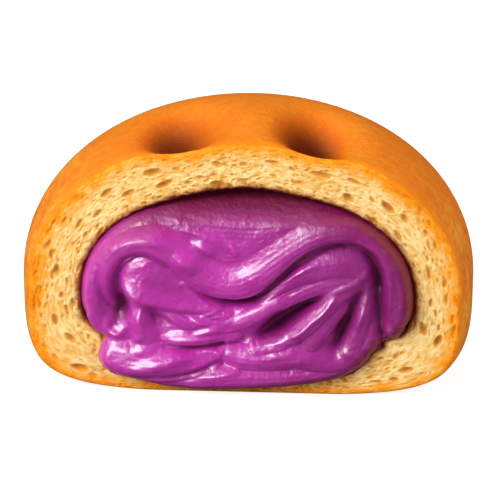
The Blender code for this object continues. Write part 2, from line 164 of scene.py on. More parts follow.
# How round a fold is, how widely two folds blend, how far a fold sags and how high the filling is between
FOLD_ROUND = 0.95
FOLD_BLEND = 2.1 * MM
FOLD_SAG = 0.26
UNDER_FOLDS = 0.2 * MM
# Fine ripples along the folds
RIPPLE_WIDTH = 1.05 * MM
RIPPLE_HEIGHT = 0.03 * MM

# How far the filling draws back under the roof of the hollow, and where that starts
ROOF_RECESS = 6.6 * MM
RECESS_FROM = 39.5 * MM
RECESS_RISE = 8.5 * MM
# How far in from its edge the filling is shaded under the roof, and how fast that fades to the sides
ROOF_SHADE_REACH = 11.5 * MM
ROOF_SHADE_POWER = 1.5
# How far in from its edge the filling is shaded on the right, and how strongly
RIM_SHADE_REACH = 4.6 * MM
RIM_SHADE = 0.9

# Small lumps and pits all over the filling: how many, least and most reach, most height
LUMP_COUNT = 700
LUMP_REACH = (0.35 * MM, 1.1 * MM)
LUMP_HEIGHT = 0.12 * MM
LUMP_SEED = 4

# Low ridges drawn over the folds: x, z, half width, height, in millimetres
RIDGES = (
    # On the S and the rope that it ends as
    ((25, 36.6, 0.6, 0.3), (28.4, 34.8, 0.9, 0.8), (30.6, 31.3, 1.0, 1.1), (31.4, 27, 1.0, 1.2),
     (31.3, 23, 1.0, 1.1), (30.8, 19, 0.9, 0.7), (30.8, 16.5, 0.8, 0.2)),
    ((-28.8, 32.6, 1.0, 0.1), (-26.4, 35.2, 1.3, 0.6), (-21.5, 36.9, 1.4, 0.8), (-16.5, 36.6, 1.3, 0.6),
     (-12, 34.6, 1.1, 0.1)),
    ((-14, 38.6, 0.8, 0.1), (-9.5, 37.9, 0.9, 0.6), (-6, 36.6, 0.9, 0.6), (-3.8, 34.4, 0.8, 0.1)),
    ((-3.4, 36.4, 0.7, 0.1), (-1.8, 34.5, 0.8, 0.6), (-1.2, 32.6, 0.7, 0.1)),
    ((-11.4, 36.0, 1.2, 0.1), (-8.2, 34.8, 1.5, 1.5), (-5.4, 32.8, 1.2, 0.2)),
    ((-15, 34.0, 1.3, 0.1), (-12.0, 32.0, 1.8, 1.7), (-9.0, 29.8, 1.4, 0.2)),
    # Round the lower edge of the bulb
    ((-26, 28, 1.0, 0.3), (-25.2, 25.4, 1.3, 1.0), (-22.8, 23.4, 1.4, 1.2), (-19.5, 22.3, 1.4, 1.2),
     (-16, 21.5, 1.2, 1.1), (-12, 20.9, 1.0, 0.8), (-8, 20.7, 0.9, 0.6), (-4.5, 21.2, 0.8, 0.2)),
    ((-14.5, 26, 0.7, 0.1), (-12.5, 26.4, 0.6, 0.4), (-11, 24.6, 0.5, 0.1)),
    # The bulb's rounded upper left
    ((-26.4, 27, 1.2, 0.3), (-25.4, 30, 1.6, 1.1), (-22.8, 32, 1.9, 1.6), (-19.2, 31.8, 1.9, 1.5),
     (-16.4, 29.4, 1.4, 0.4)),
    # Down the neck
    ((-21.6, 21, 1.0, 0.4), (-22.5, 18, 1.4, 0.9), (-22.2, 15, 1.2, 0.4)),
    ((-23.9, 20.8, 0.6, 0.3), (-24.4, 18.5, 0.7, 0.7), (-25.2, 15.8, 0.7, 0.4)),
    ((-24.4, 15, 0.5, 0.1), (-23.4, 13.9, 0.6, 0.5), (-21.8, 13.3, 0.5, 0.1)),
    ((-28.8, 14.6, 0.5, 0.1), (-27.6, 14.1, 0.6, 0.5), (-26.2, 14.6, 0.5, 0.1)),
    # The slanting streaks right of the neck
    ((-18, 20.3, 0.7, 0.4), (-15.6, 19.2, 0.9, 1.4), (-13.6, 17.7, 0.9, 1.4), (-11.6, 16.4, 0.7, 0.5)),
    ((-15, 20.2, 0.5, 0.3), (-12.6, 18.8, 0.6, 1.0), (-10.4, 16.9, 0.6, 0.5)),
    ((-11.8, 19.6, 0.6, 0.3), (-9.6, 18.1, 0.8, 1.1), (-7.6, 17.6, 0.7, 0.5)),
    ((-10, 18.9, 0.5, 0.1), (-7.4, 19.6, 0.6, 0.6), (-5.2, 20.6, 0.5, 0.2)),
    ((-7.6, 18.8, 0.5, 0.1), (-5.5, 19.3, 0.5, 0.5), (-3.4, 19.4, 0.5, 0.1)),
    ((-9.6, 15.4, 0.6, 0.3), (-6.6, 16.2, 0.8, 1.0), (-4.6, 16.4, 0.6, 0.3)),
    ((-17, 13.4, 0.5, 0.1), (-13.5, 13.6, 0.6, 0.3), (-8.6, 14.2, 0.6, 0.3), (-6, 14.6, 0.5, 0.1)),
    # Over the bottom lobes
    ((-30, 10.2, 0.9, 0.2), (-27.8, 10.7, 1.1, 0.4), (-24.5, 10.9, 1.1, 0.4), (-20, 11.2, 1.0, 0.2)),
    ((-26, 6.8, 0.9, 0.1), (-22, 7.4, 1.3, 0.7), (-18, 8.8, 1.6, 1.1), (-14, 10, 1.6, 1.1),
     (-10, 10.6, 0.9, 0.1)),
    ((-12.5, 6.6, 0.7, 0.1), (-9.4, 7.6, 0.8, 0.45), (-6.6, 8.9, 0.7, 0.1)),
    ((-10.8, 11.5, 0.5, 0.3), (-7.8, 11.7, 0.8, 1.0), (-5, 10.9, 0.7, 0.5)),
    ((-10, 5.3, 0.7, 0.1), (-6, 5.9, 0.9, 0.5), (-2.5, 6.7, 0.9, 0.5), (-0.2, 7.6, 0.7, 0.1)),
    ((6, 10.6, 0.7, 0.1), (9.2, 11.2, 0.9, 0.5), (12, 12.4, 0.7, 0.2)),
    # Along the edges of the folds on the right
    ((2.4, 22.7, 0.5, 0.2), (4.6, 24, 0.6, 0.6), (7, 26.2, 0.6, 0.6), (10, 28.6, 0.6, 0.6),
     (13, 30.6, 0.7, 0.6), (16, 31.8, 0.6, 0.2)),
    ((9, 15.7, 0.5, 0.3), (12, 18.9, 0.6, 0.9), (15, 21.6, 0.5, 0.4)),
    ((10.5, 15, 0.5, 0.2), (12.6, 16.5, 0.7, 0.6), (15, 18.8, 0.7, 0.6), (17.4, 20.8, 0.7, 0.6),
     (19.6, 23.9, 0.7, 0.4)),
    ((19, 25.2, 0.7, 0.2), (22, 26.4, 0.8, 0.5), (25, 27.8, 0.8, 0.5), (26.8, 30, 0.7, 0.2)),
    ((26.2, 21.6, 0.7, 0.1), (25, 18.6, 0.9, 0.4), (23.8, 16, 0.8, 0.1)),
)

# Creases and deep pockets between the folds: x, z, half width, depth, in millimetres
CREASES = (
    ((-27, 21.2, 0.9, 1.4), (-27.9, 25, 0.8, 1.2), (-27.2, 29, 0.8, 1.2), (-25, 32.3, 0.8, 1.2),
     (-21.3, 33.5, 0.8, 1.2), (-18, 32.4, 0.7, 1.0), (-15.5, 30.2, 0.6, 0.7), (-13, 27.5, 0.5, 0.5),
     (-10.4, 25, 0.5, 0.5), (-8, 23.5, 0.7, 1.0), (-5, 22.6, 0.9, 1.5), (-1.5, 22.3, 1.0, 1.8),
     (3, 23.2, 1.0, 1.8), (6, 25.8, 1.0, 1.8), (9.5, 29.4, 1.0, 1.8), (13, 32.8, 1.1, 1.8),
     (17, 35.2, 1.0, 1.6), (22, 36, 0.8, 1.2), (25.3, 35.2, 0.8, 1.2), (27.6, 32.8, 1.1, 1.6),
     (28.8, 29, 1.3, 2.0), (29.2, 24, 1.4, 2.0), (29.6, 19, 1.2, 1.8), (29.8, 15.5, 1.0, 1.4)),
    ((16.4, 23.6, 1.0, 1.2), (13.2, 21.4, 1.3, 2.4), (10, 18.8, 1.6, 3.2), (7, 16.6, 1.8, 3.4),
     (4.6, 14.9, 1.5, 2.4), (2.9, 14, 1.0, 1.2)),
    ((25.2, 24.4, 0.9, 0.7), (23.6, 20.5, 1.3, 1.6), (22, 17, 1.7, 2.3), (20.6, 13.4, 1.6, 1.3),
     (19.6, 11.2, 1.3, 0.4)),
    ((-26.8, 22.2, 1.1, 1.6), (-26.4, 20.2, 1.7, 2.8), (-27, 17.8, 1.6, 2.0), (-28, 16, 1.2, 0.7)),
    ((-18.6, 19.6, 1.2, 0.3), (-17.2, 17.8, 1.8, 0.7), (-15.8, 16, 1.7, 0.5), (-14.6, 15.2, 1.2, 0.2)),
    # The hollow middle of the bulb
    ((-21.6, 27.6, 1.6, 0.4), (-17.5, 26.6, 2.2, 0.9), (-13.4, 25, 1.8, 0.7), (-10, 23.6, 1.2, 0.3)),
    ((-16.8, 12, 0.6, 0.8), (-12.5, 11.7, 0.7, 1.3), (-8.5, 12.1, 0.7, 1.3), (-4.5, 13, 0.7, 1.0)),
    ((-24, 5, 0.6, 0.5), (-19, 5.2, 0.7, 0.8), (-13, 5.9, 0.7, 0.9), (-8.5, 7.4, 0.7, 0.9),
     (-5, 8.9, 0.6, 0.6)),
    ((-31, 30, 0.5, 0.4), (-30.9, 26, 0.6, 0.6), (-30.2, 22.5, 0.7, 0.8), (-29, 20, 0.7, 0.6)),
    ((-30.6, 12.9, 0.8, 0.7), (-28, 12.8, 0.8, 0.5), (-24.5, 12.9, 0.8, 0.25), (-20, 12.6, 0.8, 0.2)),
    ((1, 7.8, 1.2, 0.2), (7, 7.8, 1.4, 0.3), (13, 8.2, 1.4, 0.3)),
)

# How deep a crease is where its shade is full, and the most that its shade counts
FULL_CREASE = 1.6 * MM
MOST_CREASE = 1.5

# The larger air holes in the cut crumb: x, z, length and height in millimetres, tilt in degrees
CRUMB_HOLES = (
    (-19.4, 50.4, 4.6, 1.9, 12), (-16.8, 47.9, 4.2, 1.6, 25), (-29.3, 45.6, 3.4, 1.5, 40),
    (-24.6, 45.6, 3.6, 1.5, 30), (-35.3, 38.6, 3.0, 1.1, 62), (-31.4, 40.9, 2.8, 1.3, 50),
    (0.1, 52.6, 2.2, 1.0, 0), (6.1, 53.2, 3.4, 1.2, -5), (16.6, 50.6, 5.0, 1.6, -12),
    (11.5, 48.7, 3.2, 1.1, -10), (23.6, 49.2, 3.6, 1.2, -25), (22.4, 45.6, 3.2, 1.7, -35),
    (30.8, 43.6, 4.0, 1.8, -42), (34.4, 41.2, 2.6, 1.5, -55), (27.4, 45.2, 2.2, 1.0, -60),
    (39.8, 29.0, 3.6, 1.2, -78), (43.8, 22.9, 3.4, 1.1, 88), (42.2, 13.2, 3.3, 1.9, 62),
    (40.4, 22.0, 2.4, 1.1, 85), (35.4, 6.2, 3.8, 1.7, 12), (-35.9, 5.0, 4.4, 2.0, -14),
    (-41.1, 16.2, 3.0, 1.6, -80), (-37.9, 12.0, 3.6, 1.6, -45), (-39.6, 22.0, 2.0, 1.1, 80),
)
# Their depth over height
HOLE_STEEPNESS = 0.34
# Air holes that are scattered by chance:
# how many, least and most length, height over length, depth over height
CRUMB_CELLS = (
    (2200, 0.5 * MM, 1.2 * MM, 0.50, 0.34),
    (520, 1.1 * MM, 2.6 * MM, 0.38, 0.38),
    (60, 2.4 * MM, 4.0 * MM, 0.40, 0.32),
)
# Scattered holes longer than this keep clear of the larger ones
CROWDING_LENGTH = 1.4 * MM
# Where they lie from the crust, at 0, to the mouth, at 1
CELL_PLACES = (0.04, 0.97)
# How far small ones outnumber large ones, how far they turn, in radians, and how much their height varies
CELL_SIZE_POWER = 1.6
CELL_TURN = 0.22
CELL_STRETCH = (0.75, 1.3)
# How flat they are at the crust, and how far from it that ends
CELL_FLAT_AT_CRUST = 0.6
CELL_FLAT_UNTIL = 0.25
# How many points on either side give the crust's direction
TANGENT_STEPS = 4
# A hole's bowl, the low brim round it, whose place is 1 at the bowl's edge, and how far out a hole counts
BOWL_DEPTH = 1.2
BOWL_POWER = 0.8
BRIM_HEIGHT = 0.22
BRIM_PLACE = 1.15
BRIM_SPREAD = 0.08
HOLE_MARGIN = 1.5
# The holes fade towards the crust, after a plain margin, and towards the mouth, to a share of their depth
CRUST_MARGIN = 0.1 * MM
CRUST_FADE = 0.8 * MM
MOUTH_FADE = 0.9 * MM
DEPTH_AT_CRUST = 0.4
DEPTH_AT_MOUTH = 0.3
# Streaks of finer crumb that run round the bun:
# how deep, and how far each is blurred along and across, in grid steps
STRAND_DEPTH = 0.09 * MM
STRAND_BLUR = (9.0, 3.2)
CRUMB_SEED = 11
# The mouth's rough edge: how rough, and how many waves of each kind go round it
RAGGED_SIZE = 0.11 * MM
RAGGED_WAVES = (11, 23, 37, 53, 67, 83)
RAGGED_SEED = 5
# How far the face turns back at the mouth, and how far behind the cut the hollow's wall starts and ends
LIP_DEPTH = 0.8 * MM
WALL_START = 0.7 * MM
WALL_REACH = 9.0 * MM
# How wide the golden band beside the crust is, by direction: turn in degrees from the right, width
GOLD_BAND = (
    (0, 3.6 * MM), (50, 3.2 * MM), (90, 2.8 * MM), (130, 3.2 * MM), (180, 4.6 * MM), (212, 4.4 * MM),
    (245, 1.8 * MM), (295, 1.8 * MM), (330, 3.4 * MM), (360, 3.6 * MM),
)
# How many band widths from the crust the hollow's wall counts as
BAND_ON_WALL = 9.0
# How much deeper the cut face lies beside the crust, and how far in from it
SHOULDER_DEPTH = 0.5 * MM
SHOULDER_REACH = 0.9 * MM

# How finely the surfaces are meshed
CRUST_SEGMENTS = 600
CRUST_ROWS = 130
CRUMB_SEGMENTS = 1200
CRUMB_ROWS = 62
WALL_ROWS = 10
CREAM_SEGMENTS = 640
CREAM_ROWS = 140
CREAM_ROW_CROWDING = 1.25
CURVE_STEPS = 6
HALVINGS = 32
# How far in from its edge the filling rounds over
EDGE_ROUND = 2.8 * MM

# The photograph's camera
CAMERA_TARGET = Vector((1.4, -17.7, 33.4)) * MM
CAMERA_DISTANCE = 500.0 * MM
CAMERA_AZIMUTH = math.radians(3.43)
CAMERA_ELEVATION = math.radians(20.1)
CAMERA_LENS_MM = 167.8
SENSOR_MM = 36.0
CLIP_NEAR = 0.05
CLIP_FAR = 20.0

# The studio's lights: name, place in metres, width in metres, power in watts, whether it is reflected
LIGHTS = (
    ("key", (-0.56, -0.50, 0.50), 0.52, 8.6, True),
    ("fill", (0.8, -0.25, 0.3), 1.1, 6.7, False),
    ("top", (-0.05, 0.10, 0.8), 0.4, 2.2, False),
)
LIGHT_AIM = (0.0, -0.01, 0.03)
# How bright the world is to the bun, and in its reflections
WORLD_LIGHT = 0.17
WORLD_REFLECTION = 0.03
# Half the floor's width in metres, how far it lies below the bun, and its grey and its glow to the camera
FLOOR_HALF = 4.0
FLOOR_DROP = 0.05 * MM
FLOOR_GREY = 0.4
FLOOR_GLOW = 0.85

# The middle of the cut and of the bun, where it is widest
CUT_CENTRE = np.array([0.0, -CUT_SETBACK, WIDEST_HEIGHT])
HEART = np.array([0.0, 0.0, WIDEST_HEIGHT])
# The faces of the crumb and the cream look away from here
FAR_BEHIND = np.array([0.0, 1.0, 0.0])


# Shapes


def dent_depth(x, y):
    """How far the finger dents lower the crown at x, y."""
    depth = np.zeros_like(x)
    for dent_x, dent_y, deep, reach, behind in DENTS:
        depthways = np.where(y > dent_y * MM, behind, reach) * MM
        share = np.hypot((x - dent_x * MM) / (reach * MM), (y - dent_y * MM) / depthways)
        depth = depth + deep * MM * np.exp(-(share**DENT_POWER))
    return depth


def round_body(radius, rise, up, down, power_up, power_down):
    """Under 1 inside a round body that is widest where rise is 0, and over 1 outside it."""
    tall = np.where(rise > 0, rise / up, -rise / down)
    power = np.where(rise > 0, power_up, power_down)
    return radius**power + tall**power


def bun_level(x, y, z):
    lowered = z + np.where(z > WIDEST_HEIGHT, dent_depth(x, y), 0.0)
    return round_body(
        np.hypot(x, y) / BUN_RADIUS,
        lowered - WIDEST_HEIGHT,
        BUN_HEIGHT - WIDEST_HEIGHT,
        WIDEST_HEIGHT + FLAT_DEPTH,
        CROWN_POWER,
        FOOT_POWER,
    )


def hollow_level(x, y, z, gap=0.0):
    return round_body(
        np.hypot(x - HOLLOW_SHIFT, y) / (HOLLOW_RADIUS - gap),
        z - HOLLOW_WIDEST,
        HOLLOW_TOP - gap - HOLLOW_WIDEST,
        HOLLOW_WIDEST - HOLLOW_FLOOR - gap,
        HOLLOW_CROWN_POWER,
        HOLLOW_FOOT_POWER,
    )


def filling_level(x, y, z):
    return hollow_level(x, y, z, 2 * GAP)


def cast(level, start, ways):
    """Where rays from start, one for each row of ways, leave the body that level describes."""
    near = np.zeros(len(ways))
    far = np.full(len(ways), 2 * BUN_RADIUS)
    for _ in range(HALVINGS):
        middle = (near + far) / 2
        point = start + ways * middle[:, None]
        inside = level(*point.T) < 1
        near = np.where(inside, middle, near)
        far = np.where(inside, far, middle)
    return start + ways * near[:, None]


def angles(segments):
    return np.arange(segments) * 2 * math.pi / segments


def ring_ways(turn, lean):
    """Directions that lean away from the +Y axis by an angle, one for each turn about it."""
    flat = np.sin(lean)
    return np.stack([np.cos(turn) * flat, np.cos(lean) * np.ones_like(turn), np.sin(turn) * flat], axis=1)


def outline_at(level, y, segments):
    """The ring of points where a body's surface meets the plane at y, which may differ by direction."""
    start = np.tile(CUT_CENTRE, (segments, 1))
    start[:, 1] = y
    return cast(level, start, ring_ways(angles(segments), math.pi / 2))


def rings_behind(level, first_ring, shares):
    """Rings of a body's surface, at shares of the way from its back pole to first_ring."""
    away = first_ring - HEART
    lean = np.arctan2(np.hypot(away[:, 0], away[:, 2]), away[:, 1])
    turn = np.arctan2(away[:, 2], away[:, 0])
    return [cast(level, HEART, ring_ways(turn, lean * share)) for share in shares]


def smooth_path(points):
    """A curve through a fold's points, with its width and height along it."""
    known = np.array(points, float) * MM
    padded = np.vstack([2 * known[0] - known[1], known, 2 * known[-1] - known[-2]])
    path = [known[0]]
    for before, start, end, after in zip(padded, padded[1:], padded[2:], padded[3:]):
        for step in range(1, CURVE_STEPS + 1):
            t = step / CURVE_STEPS
            slope = (end - before) * t
            bend = (2 * before - 5 * start + 4 * end - after) * t**2
            twist = (3 * start - before - 3 * end + after) * t**3
            path.append(0.5 * (2 * start + slope + bend + twist))
    return np.array(path)


def nearest_on(path, x, z):
    """How far each x, z is from a path, the path's width and height there, and how far above it each lies."""
    away = np.full(len(x), np.inf)
    width = np.zeros(len(x))
    height = np.zeros(len(x))
    above = np.zeros(len(x))
    for start, end in zip(path, path[1:]):
        run = end[:2] - start[:2]
        t = np.clip(((x - start[0]) * run[0] + (z - start[1]) * run[1]) / (run @ run), 0, 1)
        off = np.hypot(x - start[0] - t * run[0], z - start[1] - t * run[1])
        closer = off < away
        away = np.where(closer, off, away)
        width = np.where(closer, start[2] + t * (end[2] - start[2]), width)
        height = np.where(closer, start[3] + t * (end[3] - start[3]), height)
        above = np.where(closer, z - start[1] - t * run[1], above)
    return away, width, height, above


def smooth_max(a, b, blend):
    near = np.maximum(0.0, 1 - np.abs(a - b) / blend)
    return np.maximum(a, b) + blend / 4 * near**2


def fold_relief(x, z):
    """How far the filling's folds stand in front of the cut, and how deep in a crease each point lies."""
    relief = np.full(len(x), UNDER_FOLDS)
    for fold in FOLDS:
        away, width, crest, above = nearest_on(smooth_path(fold), x, z)
        across = np.minimum(away / width, 1.0)
        rope = crest - width * FOLD_ROUND * (1 - np.sqrt(1 - across**2)) - np.maximum(away - width, 0.0)
        rope = rope - FOLD_SAG * np.clip(above, -width, width)
        rope = rope + RIPPLE_HEIGHT * np.cos(away * 2 * math.pi / RIPPLE_WIDTH) * (1 - across)
        relief = smooth_max(relief, rope, FOLD_BLEND)
    for ridge in RIDGES:
        away, width, height, _ = nearest_on(smooth_path(ridge), x, z)
        relief = relief + height * np.exp(-((away / width) ** 2))
    sunk = np.zeros(len(x))
    for crease in CREASES:
        away, width, depth, _ = nearest_on(smooth_path(crease), x, z)
        sunk = np.maximum(sunk, depth * np.exp(-((away / width) ** 2)))
    return relief - sunk, sunk


def lumps(x, z):
    """Small lumps and pits, as a height over the folds."""
    chance = np.random.default_rng(LUMP_SEED)
    height = np.zeros_like(x)
    for _ in range(LUMP_COUNT):
        lump_x, lump_z = chance.uniform((-HOLLOW_RADIUS, HOLLOW_FLOOR), (HOLLOW_RADIUS, HOLLOW_TOP))
        reach = chance.uniform(*LUMP_REACH)
        high = chance.uniform(-LUMP_HEIGHT, LUMP_HEIGHT)
        height += high * np.exp(-((x - lump_x) ** 2 + (z - lump_z) ** 2) / reach**2)
    return height


def notch_depth(turn):
    """How far the crumb bulges into the mouth, in each direction."""
    depth = np.zeros_like(turn)
    for middle, deep, half_width in NOTCHES:
        off = (np.degrees(turn) - middle + 180) % 360 - 180
        depth = depth + deep * np.exp(-((off / half_width) ** 2))
    return depth


def spill_reach(turn, mouth_reach):
    """How far past the hollow's edge the filling lies on the cut face, in each direction."""
    x, z = np.array(SPILL_EDGE).T * MM
    towards = np.arctan2(z - WIDEST_HEIGHT, x)
    reach = np.hypot(x, z - WIDEST_HEIGHT)
    signed_turn = (turn + math.pi) % (2 * math.pi) - math.pi
    return np.maximum(np.interp(signed_turn, towards, reach, left=0.0, right=0.0) - mouth_reach, 0.0)


def rim_relief(turn, spill, segments):
    """How far in front of the cut the filling's edge lies, by direction."""
    upward = np.clip(np.sin(turn), 0.0, 1.0) ** 2
    inside = RIM_AT_SIDE + (RIM_AT_TOP - RIM_AT_SIDE) * upward
    near = max(1, segments // SPILL_MARGIN_PARTS)
    near_spill = np.maximum.reduce([np.roll(spill, step) for step in range(-near, near + 1)])
    on_face = np.clip(near_spill / FULL_SPILL, 0.0, 1.0)
    return inside + (RIM_ON_FACE - inside) * on_face


# Meshes


def mesh_of_rings(name, rings, pole=None, last_pole=None):
    """A smooth mesh through rings of equal length that run away from pole, or towards last_pole."""
    count = len(rings[0])
    points = np.vstack(rings)
    faces = []
    row_starts = np.arange(len(rings) - 1) * count
    near = np.arange(count)
    following = np.roll(near, -1)
    for start in row_starts:
        after = start + count
        quads = np.stack([start + near, start + following, after + following, after + near], axis=1)
        faces.extend(quads.tolist())
    if pole is not None:
        tip = len(points)
        points = np.vstack([points, pole])
        faces.extend(np.stack([following, near, np.full(count, tip)], axis=1).tolist())
    if last_pole is not None:
        tip = len(points)
        points = np.vstack([points, last_pole])
        last = (len(rings) - 1) * count
        faces.extend(np.stack([last + near, last + following, np.full(count, tip)], axis=1).tolist())
    mesh = bpy.data.meshes.new(name)
    mesh.from_pydata(points.tolist(), [], faces)
    mesh.validate()
    mesh.shade_smooth()
    made = bpy.data.objects.new(name, mesh)
    bpy.context.scene.collection.objects.link(made)
    return made


def face_outward(made, centre):
    """Turns the faces to look away from a point inside the body."""
    mesh = made.data
    centres = np.zeros(len(mesh.polygons) * 3)
    normals = np.zeros(len(mesh.polygons) * 3)
    mesh.polygons.foreach_get("center", centres)
    mesh.polygons.foreach_get("normal", normals)
    away = (centres.reshape(-1, 3) - centre) * normals.reshape(-1, 3)
    if away.sum() < 0:
        mesh.flip_normals()


def store(made, name, values):
    """Keeps one number for each point, for the material to read."""
    full = np.zeros(len(made.data.vertices))
    full[: len(values)] = values
    made.data.attributes.new(name, "FLOAT", "POINT").data.foreach_set("value", full)


def make_crust():
    """The baked skin, from the cut edge round the back and under the bun."""
    edge = outline_at(bun_level, -CUT_SETBACK + SHOULDER_DEPTH, CRUST_SEGMENTS)
    rings = rings_behind(bun_level, edge, np.arange(CRUST_ROWS, 0, -1) / CRUST_ROWS)
    for ring in rings:
        ring[:, 2] = np.maximum(ring[:, 2], 0.0)
    back_pole = cast(bun_level, HEART, np.array([[0.0, 1.0, 0.0]]))
    crust = mesh_of_rings("crust", rings, last_pole=back_pole)
    face_outward(crust, HEART)
    points = np.vstack(rings)
    # Painted shade in the dents, with their browner bake, set a little to the left of their lowest points
    shade = dent_depth(points[:, 0] + SHADE_SHIFT, points[:, 1]) / FULL_SHADE_DEPTH
    store(crust, "dent", np.clip(shade, 0, 1) * (points[:, 2] > WIDEST_HEIGHT))
    store(crust, "from_cut", points[:, 1] + CUT_SETBACK)
    return crust


def is_crowded(place, half_long, cells):
    """Whether an air hole at this place would reach one of the cells."""
    return any(math.hypot(place[0] - cell[0], place[2] - cell[1]) < cell[2] + half_long for cell in cells)


def scattered_cells(outer, inner):
    """Places, sizes and tilts of the crumb's air holes, the named ones first and then those set by chance."""
    cells = [
        (x * MM, z * MM, length / 2 * MM, height / 2 * MM, math.radians(tilt), height * HOLE_STEEPNESS * MM)
        for x, z, length, height, tilt in CRUMB_HOLES
    ]
    named = list(cells)
    chance = np.random.default_rng(CRUMB_SEED)
    tangent = np.roll(outer, -TANGENT_STEPS, axis=0) - np.roll(outer, TANGENT_STEPS, axis=0)
    for count, least, most, flatness, steepness in CRUMB_CELLS:
        spots = chance.integers(0, len(outer), count)
        across = chance.uniform(*CELL_PLACES, count)
        length = least + (most - least) * chance.random(count) ** CELL_SIZE_POWER
        wobble = chance.normal(0, CELL_TURN, count)
        stretch = chance.uniform(*CELL_STRETCH, count)
        for spot, share, long, turn, wide in zip(spots, across, length, wobble, stretch):
            place = outer[spot] + (inner[spot] - outer[spot]) * share
            tilt = math.atan2(tangent[spot, 2], tangent[spot, 0]) + turn
            edge_flat = CELL_FLAT_AT_CRUST + (1 - CELL_FLAT_AT_CRUST) * min(1.0, share / CELL_FLAT_UNTIL)
            high = long * flatness * wide * edge_flat
            if long > CROWDING_LENGTH and is_crowded(place, long / 2, named):
                continue
            cells.append((place[0], place[2], long / 2, high / 2, tilt, high * steepness))
    return cells


def hole_depth(x, z, cells, turn_of, columns):
    """For points in rows and columns, how deep each lies in an air hole and how high on a brim."""
    depth = np.zeros_like(x)
    brims = np.zeros_like(x)
    for cell_x, cell_z, half_long, half_high, tilt, deep in cells:
        turn = math.atan2(cell_z - WIDEST_HEIGHT, cell_x)
        reach = math.hypot(cell_z - WIDEST_HEIGHT, cell_x)
        spread = HOLE_MARGIN * half_long / reach
        first = int((turn - spread) / turn_of)
        last = int((turn + spread) / turn_of) + 2
        window = np.arange(first, last) % columns
        along = (x[:, window] - cell_x) * math.cos(tilt) + (z[:, window] - cell_z) * math.sin(tilt)
        aside = (z[:, window] - cell_z) * math.cos(tilt) - (x[:, window] - cell_x) * math.sin(tilt)
        inside = (along / half_long) ** 2 + (aside / half_high) ** 2
        bowl = BOWL_DEPTH * deep * np.clip(1 - inside, 0, None) ** BOWL_POWER
        brim = BRIM_HEIGHT * deep * np.exp(-((inside - BRIM_PLACE) ** 2) / BRIM_SPREAD)
        depth[:, window] = np.maximum(depth[:, window], bowl)
        brims[:, window] = np.maximum(brims[:, window], brim)
    return depth, brims


def strands(rows, columns, seed):
    """Soft streaks that run round the bun, from -1 to 1."""
    chance = np.random.default_rng(seed)
    along, across = STRAND_BLUR
    soften = np.exp(-((np.fft.fftfreq(columns) * along) ** 2) - (np.fft.fftfreq(rows)[:, None] * across) ** 2)
    streaks = np.fft.ifft2(np.fft.fft2(chance.normal(size=(rows, columns))) * soften).real
    return np.clip(streaks / (2 * streaks.std()), -1, 1)


def smooth_step(share):
    share = np.clip(share, 0, 1)
    return share * share * (3 - 2 * share)


def ragged(turn):
    """How far the mouth's rough edge lies outside its plain one: small waves with chance phases."""
    chance = np.random.default_rng(RAGGED_SEED)
    line = np.zeros_like(turn)
    for wave in RAGGED_WAVES:
        line += np.sin(turn * wave + chance.uniform(0, 2 * math.pi)) * chance.uniform(0.5, 1.0)
    return line * RAGGED_SIZE / math.sqrt(len(RAGGED_WAVES))


def make_crumb():
    """The cut face with its air holes, and the hollow's wall just behind it."""
    turn = angles(CRUMB_SEGMENTS)
    outer = outline_at(bun_level, -CUT_SETBACK + SHOULDER_DEPTH, CRUMB_SEGMENTS)
    outer[:, 1] = -CUT_SETBACK
    outer[:, 2] = np.maximum(outer[:, 2], 0.0)
    out = ring_ways(turn, math.pi / 2)
    bulge = notch_depth(turn)
    mouth = outline_at(hollow_level, -CUT_SETBACK, CRUMB_SEGMENTS) - out * bulge[:, None]
    rough = ragged(turn)
    mouth_edge = mouth + out * rough[:, None]
    shares = np.linspace(0, 1, CRUMB_ROWS + 1)
    face = np.stack([outer + (mouth_edge - outer) * share for share in shares])
    x, z = face[:, :, 0], face[:, :, 2]
    cells = scattered_cells(outer, mouth)
    depth, brims = hole_depth(x, z, cells, 2 * math.pi / CRUMB_SEGMENTS, CRUMB_SEGMENTS)
    from_crust = np.hypot(x - outer[:, 0], z - outer[:, 2])
    from_mouth = np.hypot(x - mouth_edge[:, 0], z - mouth_edge[:, 2])
    off_crust = smooth_step((from_crust - CRUST_MARGIN) / CRUST_FADE)
    off_mouth = smooth_step(from_mouth / MOUTH_FADE)
    streak = strands(*x.shape, CRUMB_SEED)
    depth = depth + STRAND_DEPTH * streak
    depth = depth * (DEPTH_AT_CRUST + (1 - DEPTH_AT_CRUST) * off_crust)
    depth = depth * (DEPTH_AT_MOUTH + (1 - DEPTH_AT_MOUTH) * off_mouth)
    shoulder = SHOULDER_DEPTH * (1 - smooth_step(from_crust / SHOULDER_REACH)) ** 2
    face[:, :, 1] += depth + shoulder - brims * off_crust * off_mouth
    face[:, :, 1] += LIP_DEPTH * (1 - off_mouth) ** 2
    face[0, :, 1] = -CUT_SETBACK + SHOULDER_DEPTH

    rings = list(face)
    for row in range(1, WALL_ROWS + 1):
        behind = WALL_START + (WALL_REACH - WALL_START) * row / WALL_ROWS
        wall = outline_at(hollow_level, -CUT_SETBACK + behind, CRUMB_SEGMENTS)
        rings.append(wall + out * ((rough - bulge) * (1 - row / WALL_ROWS))[:, None])
    crumb = mesh_of_rings("crumb", rings)
    face_outward(crumb, FAR_BEHIND)

    on_wall = np.zeros((WALL_ROWS, CRUMB_SEGMENTS))
    store(crumb, "hole", np.vstack([depth / MM, on_wall]).ravel())
    band = from_crust / np.interp(np.degrees(turn), *zip(*GOLD_BAND))
    store(crumb, "strand", np.vstack([streak, on_wall]).ravel())
    store(crumb, "band", np.vstack([band, on_wall + BAND_ON_WALL]).ravel())
    store(crumb, "from_mouth", np.vstack([from_mouth, on_wall]).ravel())
    return crumb


